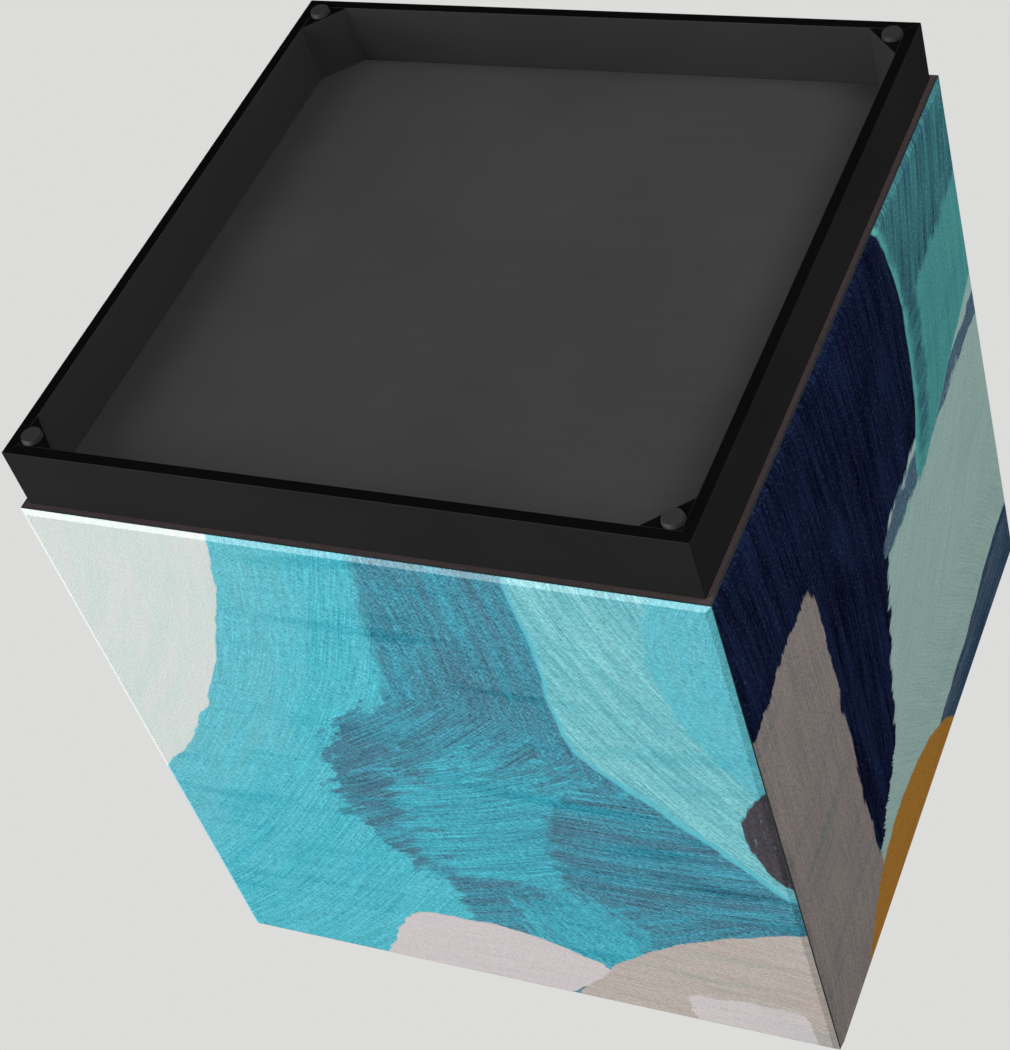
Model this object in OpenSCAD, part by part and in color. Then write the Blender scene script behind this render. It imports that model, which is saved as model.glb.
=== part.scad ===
// Cube side table: five bevelled art-glass panes bonded to a hollow board carcass,
// standing on a slightly inset black plinth with four screw-in levelling glides.
// The table stands upright with the undersides of its glides at z = 0.

/* [Body] */
// Width and depth over the outer faces of the glass
body_w = 457.2; // [420:0.1:520]
// Height of the side panes
side_h = 455.2; // [420:0.1:520]

/* [Glass] */
// Thickness of each pane
glass_t = 3.2; // [3:0.1:6]
// Width of the bevel around each pane, seen square on
bevel_w = 3.8; // [2:0.1:12]
// How far the bevel drops from the face to the pane's edge
bevel_d = 1.9; // [0.5:0.1:2.5]
// Gap all round between the top pane and the side panes
top_gap = 0.2; // [0.1:0.05:0.5]

/* [Carcass] */
// Thickness of the side and bottom boards
board_t = 9; // [6:0.5:11]
// Thickness of the top board
top_board_t = 12; // [9:0.5:18]
// Width of the square corner posts and cleats
batten_w = 18; // [15:0.5:24]

/* [Plinth] */
// Height of the plinth rails
plinth_h = 45; // [38:0.5:80]
// How far the plinth stands in from the carcass face
plinth_inset = 3.2; // [2:0.1:12]
// Thickness of the plinth rails
rail_t = 7.7; // [6:0.1:12]
// Length of the two legs of each triangular corner block
block_leg = 24.4; // [23:0.1:40]

/* [Levelling glides] */
// Distance of each glide's axis from the plinth's two outer faces
glide_in = 14.5; // [13.5:0.1:18]
// Diameter of the foot where it meets the plinth
foot_d = 14.2; // [12:0.1:16]
// Diameter of the foot's flat underside
foot_face_d = 12.6; // [10:0.1:14]
// Thickness of the foot
foot_t = 3.2; // [3:0.1:5]
// Diameter of the steel stud
stud_d = 5.9; // [5:0.1:6]
// Length of the stud above the foot
stud_l = 26; // [20:0.5:32]

/* [Screws] */
// Diameter of the screw shanks
screw_d = 3; // [2.5:0.1:3.5]
// Diameter of the countersunk heads
head_d = 6; // [5:0.1:7]
// Length of the screws through the battens and the top board
screw_l = 24.5; // [22:0.5:26]
// Length of the screws that hold the plinth
plinth_screw_l = 30; // [25:0.5:40]

/* [Hidden] */

// Turns about Z that bring a piece made at the front to each side
front = 0;
right = 90;
back = 180;
left = 270;
SIDES = [front, right, back, left];
// Turns that bring a piece made at the front left corner to each corner
front_left = 0;
front_right = 90;
back_right = 180;
back_left = 270;
CORNERS = [front_left, front_right, back_right, back_left];

glass_edge = glass_t - bevel_d;
carcass_w = body_w - 2 * glass_t;
carcass_in = carcass_w / 2 - board_t;
batten_in = carcass_in - batten_w;
plinth_w = carcass_w - 2 * plinth_inset;
rail_in = plinth_w / 2 - rail_t;
glide_at = plinth_w / 2 - glide_in;

// Levels from the floor up
plinth_z = foot_t;
carcass_z = plinth_z + plinth_h;
floor_top_z = carcass_z + board_t;
side_top_z = carcass_z + side_h;
carcass_top_z = side_top_z - glass_edge;
top_board_z = carcass_top_z - top_board_t;

// Glide fittings
stud_clear = 0.05;
insert_d = 9;
insert_l = 16;
stud_room_d = 6.6;
stud_room_l = stud_l + 2;
flange_d = 10;
flange_t = 1.2;
flange_z = 1;

// Screw places: heights on the posts, distances along the cleats, and on the corner blocks
post_screw_z = [110, 275, 440];
post_screw_step = 14;
cleat_screw_x = [-150, 0, 150];
board_screw_x = [-75, 75];
block_screw_in = 3;
block_screw_along = 16.5;
head_h = (head_d - screw_d) / 2;
tip_h = 3;

overlap = 1;
$fn = 48;

// Glass: a pane stands with its back at y = 0, faces -Y and is bevelled on all four edges.
module bevelled_pane(w, h) {
    intersection() {
        linear_extrude(h)
            polygon([
                [-w / 2, 0], [-w / 2, -glass_edge], [-w / 2 + bevel_w, -glass_t],
                [w / 2 - bevel_w, -glass_t], [w / 2, -glass_edge], [w / 2, 0]
            ]);
        translate([-w / 2, 0, 0])
            rotate([90, 0, 90])
                linear_extrude(w)
                    polygon([
                        [0, 0], [0, h], [-glass_edge, h],
                        [-glass_t, h - bevel_w], [-glass_t, bevel_w], [-glass_edge, 0]
                    ]);
    }
}

// The front and back panes lap over the edges of the left and right ones.
module side_glass(side, w, tint) {
    color(tint)
        rotate([0, 0, side])
            translate([0, -carcass_w / 2, carcass_z])
                bevelled_pane(w, side_h);
}

module top_glass() {
    w = carcass_w - 2 * top_gap;
    color("paleturquoise")
        translate([0, -w / 2, carcass_top_z])
            rotate([-90, 0, 0])
                bevelled_pane(w, w);
}

// A countersunk screw with its head at the origin, driven towards -Z
module screw(l) {
    translate([0, 0, -head_h])
        cylinder(h = head_h, d1 = screw_d, d2 = head_d);
    translate([0, 0, tip_h - l])
        cylinder(h = l - tip_h - head_h, d = screw_d);
    translate([0, 0, -l])
        cylinder(h = tip_h, d1 = 0.6, d2 = screw_d);
}

// Three screws each way through every corner post into the two boards behind it
module post_screw_set() {
    mid = -carcass_in + batten_w / 2;
    for (corner = CORNERS, z = post_screw_z)
        rotate([0, 0, corner]) {
            translate([mid, -batten_in, z])
                rotate([-90, 0, 0])
                    screw(screw_l);
            translate([-batten_in, mid, z + post_screw_step])
                rotate([0, 90, 0])
                    screw(screw_l);
        }
}

// Screws outwards through the top and bottom cleats into the side boards
module cleat_screw_set() {
    for (side = SIDES, x = cleat_screw_x)
        rotate([0, 0, side])
            for (z = [floor_top_z + batten_w / 2, top_board_z - batten_w / 2])
                translate([x, -batten_in, z])
                    rotate([-90, 0, 0])
                        screw(screw_l);
}

// Screws down through the top board into the top cleats, hidden by the glass
module top_board_screw_set() {
    for (side = SIDES, x = board_screw_x)
        rotate([0, 0, side])
            translate([x, -batten_in - batten_w / 2, carcass_top_z])
                screw(screw_l);
}

// Screws down through the bottom cleats into the bottom board
module bottom_board_screw_set() {
    for (side = SIDES, x = board_screw_x)
        rotate([0, 0, side])
            translate([x, -batten_in - batten_w / 2, floor_top_z + batten_w])
                screw(screw_l);
}

// Two screws down through the bottom board into each corner block
module plinth_screw_set() {
    near = -rail_in + block_screw_in;
    far = -rail_in + block_screw_along;
    for (corner = CORNERS, at = [[near, far], [far, near]])
        rotate([0, 0, corner])
            translate([at[0], at[1], floor_top_z])
                screw(plinth_screw_l);
}

// The front and back boards run the full width, with the other two between them.
module side_board(side, w) {
    color("#4a3a36")
        difference() {
            rotate([0, 0, side])
                translate([-w / 2, -carcass_w / 2, carcass_z])
                    cube([w, board_t, carcass_top_z - carcass_z]);
            post_screw_set();
            cleat_screw_set();
        }
}

module top_board() {
    color("#a58a68")
        difference() {
            translate([-carcass_in, -carcass_in, top_board_z])
                cube([2 * carcass_in, 2 * carcass_in, top_board_t]);
            top_board_screw_set();
        }
}

module bottom_board() {
    color("#3c3c3c")
        difference() {
            translate([-carcass_in, -carcass_in, carcass_z])
                cube([2 * carcass_in, 2 * carcass_in, board_t]);
            bottom_board_screw_set();
            plinth_screw_set();
        }
}

module corner_post(corner) {
    color("#c8a878")
        difference() {
            rotate([0, 0, corner])
                translate([-carcass_in, -carcass_in, floor_top_z])
                    cube([batten_w, batten_w, top_board_z - floor_top_z]);
            post_screw_set();
        }
}

module cleat(side, z) {
    color("#c8a878")
        difference() {
            rotate([0, 0, side])
                translate([-batten_in, -carcass_in, z])
                    cube([2 * batten_in, batten_w, batten_w]);
            cleat_screw_set();
            top_board_screw_set();
            bottom_board_screw_set();
        }
}

module top_cleat(side) {
    cleat(side, top_board_z - batten_w);
}

module bottom_cleat(side) {
    cleat(side, floor_top_z);
}

// Plinth rails meet in mitres at the corners.
module plinth_rail(side) {
    outer = plinth_w / 2;
    color("#242424")
        rotate([0, 0, side])
            translate([0, 0, plinth_z])
                linear_extrude(plinth_h)
                    polygon([
                        [-outer, -outer], [outer, -outer], [rail_in, -rail_in], [-rail_in, -rail_in]
                    ]);
}

// A triangular block fills each inner corner of the plinth and takes the glide's insert.
module corner_block(corner) {
    color("#1c1c1c")
        difference() {
            rotate([0, 0, corner])
                translate([-rail_in, -rail_in, plinth_z])
                    linear_extrude(plinth_h)
                        polygon([[0, 0], [block_leg, 0], [0, block_leg]]);
            rotate([0, 0, corner])
                translate([-glide_at, -glide_at, plinth_z]) {
                    translate([0, 0, -overlap])
                        cylinder(h = insert_l + overlap, d = insert_d);
                    cylinder(h = stud_room_l, d = stud_room_d);
                }
            plinth_screw_set();
        }
}

module at_glide(corner) {
    rotate([0, 0, corner])
        translate([-glide_at, -glide_at, 0])
            children();
}

// A nylon foot moulded around the flange of the stud
module foot(corner) {
    color("#343434")
        at_glide(corner)
            rotate_extrude()
                polygon([
                    [0, 0], [foot_face_d / 2, 0], [foot_d / 2, foot_t], [stud_d / 2, foot_t],
                    [stud_d / 2, flange_z + flange_t], [flange_d / 2, flange_z + flange_t],
                    [flange_d / 2, flange_z], [0, flange_z]
                ]);
}

module stud(corner) {
    color("silver")
        at_glide(corner) {
            translate([0, 0, flange_z])
                cylinder(h = flange_t, d = flange_d);
            translate([0, 0, flange_z])
                cylinder(h = foot_t + stud_l - flange_z, d = stud_d);
        }
}

module glide_inserts() {
    color("goldenrod")
        for (corner = CORNERS)
            at_glide(corner)
                translate([0, 0, plinth_z])
                    difference() {
                        cylinder(h = insert_l, d = insert_d);
                        translate([0, 0, -overlap])
                            cylinder(h = insert_l + 2 * overlap, d = stud_d + 2 * stud_clear);
                    }
}

module post_screws() {
    color("lightgray") post_screw_set();
}

module cleat_screws() {
    color("lightgray") cleat_screw_set();
}

module top_board_screws() {
    color("lightgray") top_board_screw_set();
}

module bottom_board_screws() {
    color("lightgray") bottom_board_screw_set();
}

module plinth_screws() {
    color("lightgray") plinth_screw_set();
}

lap_w = carcass_w + 2 * glass_edge;
between_w = carcass_w - 2 * board_t;

side_glass(front, lap_w, "mediumturquoise");  // front_glass
side_glass(back, lap_w, "cadetblue");  // back_glass
side_glass(left, carcass_w, "midnightblue");  // left_glass
side_glass(right, carcass_w, "steelblue");  // right_glass
top_glass();
side_board(front, carcass_w);  // front_board
side_board(back, carcass_w);  // back_board
side_board(left, between_w);  // left_board
side_board(right, between_w);  // right_board
top_board();
bottom_board();
corner_post(front_left);  // front_left_post
corner_post(front_right);  // front_right_post
corner_post(back_left);  // back_left_post
corner_post(back_right);  // back_right_post
top_cleat(front);  // front_top_cleat
top_cleat(back);  // back_top_cleat
top_cleat(left);  // left_top_cleat
top_cleat(right);  // right_top_cleat
bottom_cleat(front);  // front_bottom_cleat
bottom_cleat(back);  // back_bottom_cleat
bottom_cleat(left);  // left_bottom_cleat
bottom_cleat(right);  // right_bottom_cleat
plinth_rail(front);  // front_plinth_rail
plinth_rail(back);  // back_plinth_rail
plinth_rail(left);  // left_plinth_rail
plinth_rail(right);  // right_plinth_rail
corner_block(front_left);  // front_left_block
corner_block(front_right);  // front_right_block
corner_block(back_left);  // back_left_block
corner_block(back_right);  // back_right_block
foot(front_left);  // front_left_foot
foot(front_right);  // front_right_foot
foot(back_left);  // back_left_foot
foot(back_right);  // back_right_foot
stud(front_left);  // front_left_stud
stud(front_right);  // front_right_stud
stud(back_left);  // back_left_stud
stud(back_right);  // back_right_stud
glide_inserts();
post_screws();
cleat_screws();
top_board_screws();
bottom_board_screws();
plinth_screws();
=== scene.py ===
"""Cube side table: models the finish of the table's glass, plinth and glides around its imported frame."""

import math
from collections import namedtuple

import bpy
from bpy.props import FloatProperty, FloatVectorProperty, IntProperty, PointerProperty
from mathutils import Matrix, Vector


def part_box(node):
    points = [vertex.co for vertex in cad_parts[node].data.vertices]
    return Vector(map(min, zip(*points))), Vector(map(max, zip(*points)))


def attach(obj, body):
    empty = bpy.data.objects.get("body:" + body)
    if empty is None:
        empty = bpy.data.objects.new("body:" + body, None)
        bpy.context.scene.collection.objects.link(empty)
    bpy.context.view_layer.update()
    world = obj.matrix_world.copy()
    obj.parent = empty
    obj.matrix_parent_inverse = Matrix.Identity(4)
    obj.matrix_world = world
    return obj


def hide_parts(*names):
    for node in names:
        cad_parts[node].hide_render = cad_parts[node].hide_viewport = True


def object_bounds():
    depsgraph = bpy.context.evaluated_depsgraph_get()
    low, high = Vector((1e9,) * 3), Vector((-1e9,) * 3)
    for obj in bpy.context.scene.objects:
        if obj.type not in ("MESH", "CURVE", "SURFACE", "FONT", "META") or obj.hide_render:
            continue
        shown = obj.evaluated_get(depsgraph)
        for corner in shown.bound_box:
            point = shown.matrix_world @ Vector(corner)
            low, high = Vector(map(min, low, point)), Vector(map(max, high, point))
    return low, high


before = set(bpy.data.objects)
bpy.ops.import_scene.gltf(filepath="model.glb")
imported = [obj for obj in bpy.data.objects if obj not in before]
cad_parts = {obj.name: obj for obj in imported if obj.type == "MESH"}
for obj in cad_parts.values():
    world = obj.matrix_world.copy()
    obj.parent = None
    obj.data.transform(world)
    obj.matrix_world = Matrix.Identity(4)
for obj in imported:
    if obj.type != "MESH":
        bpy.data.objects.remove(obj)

bl_info = {
    "name": "Cube side table",
    "version": (1, 0, 0),
    "blender": (4, 5, 0),
    "location": "View3D > Sidebar > Side table",
    "description": "Printed and bevelled glass panes, plinth, glides and studio for a cube side table",
    "category": "Object",
}

CAD_BOX = [list(corner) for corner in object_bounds()]
MM = 0.001
SIDES = ("front", "back", "left", "right")
CORNERS = ("front_left", "front_right", "back_left", "back_right")
OUTWARD = {
    "front": Vector((0, -1, 0)),
    "back": Vector((0, 1, 0)),
    "left": Vector((-1, 0, 0)),
    "right": Vector((1, 0, 0)),
    "top": Vector((0, 0, 1)),
}
PANE_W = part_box("front_glass")[1].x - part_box("front_glass")[0].x
PANE_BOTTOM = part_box("front_glass")[0].z


def colour(name, what, default):
    """A linear RGB colour that a user may change."""
    return FloatVectorProperty(
        name=name, description=what, subtype="COLOR", size=3, min=0, max=1, default=default)


def length(name, what, default):
    """A length in metres that a user may change."""
    return FloatProperty(
        name=name, description=what, subtype="DISTANCE", unit="LENGTH", min=0, default=default)


class GlassSettings(bpy.types.PropertyGroup):
    """Shape of the panes and the palette of their print"""

    bevel_width: length("Bevel width", "Width of the bevel, seen square on", 3.8 * MM)
    bevel_drop: length("Bevel drop", "How far the bevel falls from the face to the edge", 1.9 * MM)
    arris: length("Arris", "Width of the fine rounding along every glass edge", 0.25 * MM)
    turquoise: colour("Turquoise", "Main field of the front pane", (0.082, 0.51, 0.62))
    turquoise_light: colour("Light turquoise", "Lighter turquoise strokes", (0.13, 0.56, 0.67))
    slate: colour("Slate", "Dry-brushed slate teal", (0.082, 0.20, 0.28))
    slate_light: colour("Light slate", "Lighter slate strokes", (0.072, 0.37, 0.49))
    aqua: colour("Aqua", "Pale aqua", (0.16, 0.52, 0.59))
    aqua_light: colour("Light aqua", "Palest aqua strokes", (0.30, 0.70, 0.74))
    off_white: colour("Off-white", "Off-white with a mint cast", (0.73, 0.76, 0.74))
    chalk: colour("Chalk", "Pinkish chalk white", (0.69, 0.63, 0.64))
    beige: colour("Beige", "Warm beige", (0.53, 0.46, 0.42))
    beige_light: colour("Light beige", "Lighter warm beige", (0.60, 0.54, 0.50))
    plum: colour("Plum", "Dark plum accent", (0.075, 0.068, 0.080))
    navy: colour("Navy", "Main field of the left pane", (0.004, 0.005, 0.021))
    navy_light: colour("Light navy", "Lighter navy strokes", (0.015, 0.027, 0.082))
    taupe: colour("Taupe", "Grey brown", (0.32, 0.28, 0.27))
    taupe_light: colour("Light taupe", "Lighter grey brown", (0.39, 0.33, 0.30))
    mint: colour("Mint", "Sage mint", (0.44, 0.64, 0.60))
    mint_light: colour("Light mint", "Lighter sage mint", (0.53, 0.73, 0.67))
    teal: colour("Teal", "Green teal", (0.095, 0.38, 0.39))
    teal_light: colour("Light teal", "Lighter green teal", (0.12, 0.50, 0.48))
    hatch: colour("Hatched teal", "Dark blue teal of the hatching", (0.040, 0.13, 0.19))
    violet: colour("Violet slate", "Violet grey", (0.13, 0.18, 0.26))
    ochre: colour("Ochre", "Golden ochre", (0.54, 0.25, 0.044))
    blue: colour("Blue", "Muted steel blue", (0.030, 0.076, 0.14))
    thin_paint: colour("Thin paint", "Tint where a pass was dragged thin", (0.42, 0.76, 0.80))
    # A painted glint: a pale tint that stands in for light catching the high points of the grain.
    painted_glint: colour("Painted glint", "Pale catch of light on the grain", (0.55, 0.65, 0.75))
    edge: colour("Glass edge", "Green grey of the cut edge", (0.030, 0.042, 0.042))
    edge_light: colour("Light glass edge", "Lighter parts of the cut edge", (0.050, 0.070, 0.068))
    seal: colour("Seal", "Paint on the back of a pane", (0.20, 0.20, 0.20))
    seal_light: colour("Light seal", "Thinner parts of the back's paint", (0.26, 0.26, 0.26))


class TimberSettings(bpy.types.PropertyGroup):
    """Finish of the boards and the plinth"""

    ease: length("Eased edge", "Rounding along the long edges of the plinth rails", 0.5 * MM)
    insert_bore: length("Insert bore", "Width of the bore for the threaded insert", 9 * MM)
    insert_depth: length("Insert depth", "Depth of the bore for the threaded insert", 16 * MM)
    stud_bore: length("Stud bore", "Width of the room for the stud above its insert", 6.6 * MM)
    stud_depth: length("Stud room", "Depth of the room for the stud", 28 * MM)
    rail_black: colour("Rail black", "Satin paint on the outside of the plinth rails", (0.017, 0.017, 0.017))
    # The inside grey is the rails' black paint made lighter: painted light that stands in for light inside
    # the recess.
    rail_grey: colour("Rail grey", "Paint on the inside of the plinth rails", (0.042, 0.042, 0.042))
    # The edge near-black is the rails' black paint made darker: painted shade on the edges and undersides of
    # the rails and corner blocks.
    edge_black: colour("Edge black", "Sealer on the rails' and corner blocks' edges", (0.004, 0.004, 0.004))
    floor_grey: colour("Recess grey", "Paint of the bottom board", (0.060, 0.060, 0.060))
    stain: colour("Brown stain", "Stain on the cut edges of the side boards", (0.090, 0.066, 0.067))
    fibreboard: colour("Fibreboard", "Raw fibreboard", (0.290, 0.180, 0.095))
    speck: colour("Speck", "Dark specks in fibreboard", (0.03, 0.02, 0.015))
    softwood: colour("Softwood", "Planed softwood battens", (0.520, 0.340, 0.170))


class GlideSettings(bpy.types.PropertyGroup):
    """Shape and finish of the levelling glides"""

    face_width: length("Foot face", "Width of the foot's underside", 12.6 * MM)
    foot_round: length("Foot rounding", "Rounding round the foot's rims", 0.35 * MM)
    lip: length("Foot lip", "Width of the flat rim round the foot's underside", 0.9 * MM)
    dish: length("Dish", "Depth of the shallow dish in the foot's underside", 0.15 * MM)
    flange_thickness: length("Flange", "Thickness of the flange that the foot is moulded on", 1.2 * MM)
    thread_width: length("Thread width", "Outer diameter of the stud's thread", 5.9 * MM)
    thread_pitch: length("Thread pitch", "Pitch of the stud's thread", 1.0 * MM)
    thread_depth: length("Thread depth", "Depth of the stud's thread", 0.45 * MM)
    rod_chamfer: length("Rod chamfer", "Chamfer on the ends of the stud and its flange", 0.25 * MM)
    thread_steps: IntProperty(
        name="Thread steps", description="Facets per turn of the thread", default=24, min=12)
    nylon: colour("Nylon", "Moulded foot", (0.036, 0.036, 0.036))
    scuff: colour("Scuff", "Worn nylon", (0.09, 0.09, 0.09))
    zinc: colour("Zinc", "Plated steel", (0.600, 0.610, 0.620))
    yellow_zinc: colour("Yellow zinc", "Passivated screws", (0.62, 0.52, 0.30))
    brass: colour("Brass", "Turned inserts", (0.640, 0.420, 0.130))


class StudioSettings(bpy.types.PropertyGroup):
    """Camera, floor and lights"""

    camera_place: FloatVectorProperty(
        name="Camera place", description="Where the camera stands, under the table", unit="LENGTH",
        size=3, default=(-0.6847, -0.9810, -0.9268))
    camera_look: FloatVectorProperty(
        name="Camera look", description="Direction in which the camera looks",
        size=3, default=(0.41166, 0.58593, 0.69801))
    camera_up: FloatVectorProperty(
        name="Camera up", description="Direction that is up in the frame",
        size=3, default=(0.11448, 0.72660, -0.67745))
    camera_shift: FloatVectorProperty(
        name="Camera shift", description="Shift of the frame, as a share of its long side",
        size=2, default=(-0.0490, -0.0290))
    lens: FloatProperty(name="Lens", description="Focal length in mm", default=84.17, min=10)
    backdrop: colour("Backdrop", "Pale surroundings", (0.72, 0.72, 0.71))
    floor: colour("Floor", "Pale floor", (0.74, 0.74, 0.73))
    floor_light: colour("Light floor", "Lighter clouds in the floor", (0.80, 0.80, 0.79))
    ambient: FloatProperty(name="Ambient", description="Strength of the even light", default=0.17, min=0)
    floor_size: length("Floor size", "Width of the floor", 12.0)
    haze_start: length("Haze start", "How far out the floor starts to fade", 0.6)
    haze_end: length("Haze end", "How far out the floor has become backdrop", 2.2)


def settings():
    """The scene's settings for the table and its studio."""
    return bpy.context.scene.side_table


# ---------------------------------------------------------------- node helpers


def plug(tree, socket, value):
    """Links a socket to another one, or sets its value."""
    if isinstance(value, bpy.types.NodeSocket):
        tree.links.new(value, socket)
    else:
        socket.default_value = value


def add(tree, kind, inputs=(), **options):
    """Adds a node, sets its options and plugs its inputs, given by name or number."""
    made = tree.nodes.new("ShaderNode" + kind)
    for name, value in options.items():
        setattr(made, name, value)
    for key, value in dict(inputs).items():
        plug(tree, made.inputs[key], value)
    return made


def calc(tree, operation, *values, clamp=False):
    """A sum worked out on numbers or sockets."""
    return add(tree, "Math", dict(enumerate(values)), operation=operation, use_clamp=clamp).outputs[0]


def blend(tree, factor, under, over, mode="MIX"):
    """Two colours mixed by a factor."""
    made = add(tree, "Mix", {0: factor, 6: under, 7: over}, data_type="RGBA", blend_type=mode)
    return made.outputs[2]


def remap(tree, value, low, high, new_low=0.0, new_high=1.0):
    """A value taken from one range to another and held inside it."""
    inputs = {0: value, 1: low, 2: high, 3: new_low, 4: new_high}
    return add(tree, "MapRange", inputs).outputs[0]


def stretched(tree, vector, size, angle=0.0):
    """Coordinates in which one unit is size long along the angle, for grain, strokes and stains."""
    inputs = {"Vector": vector, "Rotation": (0, 0, angle), "Scale": size}
    return add(tree, "Mapping", inputs, vector_type="TEXTURE").outputs[0]


def noise(tree, vector, scale=1.0, detail=2.0, roughness=0.5, distortion=0.0):
    """Soft noise from 0 to 1, with about scale blotches to the unit."""
    inputs = {
        "Vector": vector, "Scale": scale, "Detail": detail, "Roughness": roughness, "Distortion": distortion,
    }
    return add(tree, "TexNoise", inputs).outputs[0]


def new_material(name):
    """An empty node material with its Principled shader and its Object coordinates."""
    made = bpy.data.materials.new(name)
    made.use_nodes = True
    tree = made.node_tree
    shader = tree.nodes["Principled BSDF"]
    place = add(tree, "TexCoord").outputs["Object"]
    return made, tree, shader, place


def bump(tree, height, distance):
    """A normal for a relief whose height runs from 0 to 1 over a distance."""
    return add(tree, "Bump", {"Height": height, "Distance": distance}).outputs[0]


def dress_shader(tree, shader, tone, rough, relief, depth):
    """Plugs a material's colour, roughness and relief, with the relief's depth, into its shader."""
    plug(tree, shader.inputs["Base Color"], tone)
    plug(tree, shader.inputs["Roughness"], rough)
    plug(tree, shader.inputs["Normal"], bump(tree, relief, depth))


def scaled(tree, tone, light):
    """A colour made lighter or darker by a factor."""
    return add(tree, "VectorMath", {0: tone, "Scale": light}, operation="SCALE").outputs[0]


def opaque(tone):
    """A colour with full alpha, as a colour socket takes it."""
    return (*tone, 1)


# ---------------------------------------------------------------- the print

# A painted field: its two tones, its outline, the point that the brush swung round, how far its edge
# is ragged and how soft it is in metres, and how strong the bristle marks are. Points and radii are in
# pane widths, from the lower left corner. An outline is a list of shapes, and the field lies inside all
# of them: ("disc", u, v, radius), ("off_disc", u, v, radius) outside it, or ("left_of", u, v, degrees),
# the side of a line through u, v that lies to its left when it runs at that angle.
Field = namedtuple("Field", "tone second outline swing ragged soft bristle")

# Points for the brush to swing round, far enough out that its strokes run nearly straight.
LEVEL = (0.5, -4.0)
UPRIGHT = (4.5, 0.5)
RISING = (2.2, -0.5)
FALLING = (3.0, 3.0)

# Each kind of mark that the brush leaves: its length and width in metres, and its noise's detail.
BRUSH_MARKS = {
    "broad": ((0.180, 0.0110), 3),
    "narrow": ((0.070, 0.0016), 3),
    "hair": ((0.040, 0.0007), 2),
    "chunks": ((0.022, 0.0100), 3),
    "gaps": ((0.012, 0.0016), 2),
}
WANDER = 12 * MM          # how far a stroke strays from its arc
DRIFT = 14 * MM           # how far the clouds push a field's outline
CORNER_ROUND = 20 * MM    # rounding where two sides of an outline meet
PRINT_RELIEF = 0.3 * MM   # height of the paint's relief under the glass
FLAT_HEIGHT = 0.3         # the paint's height where there are no marks, from 0 to 1

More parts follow.
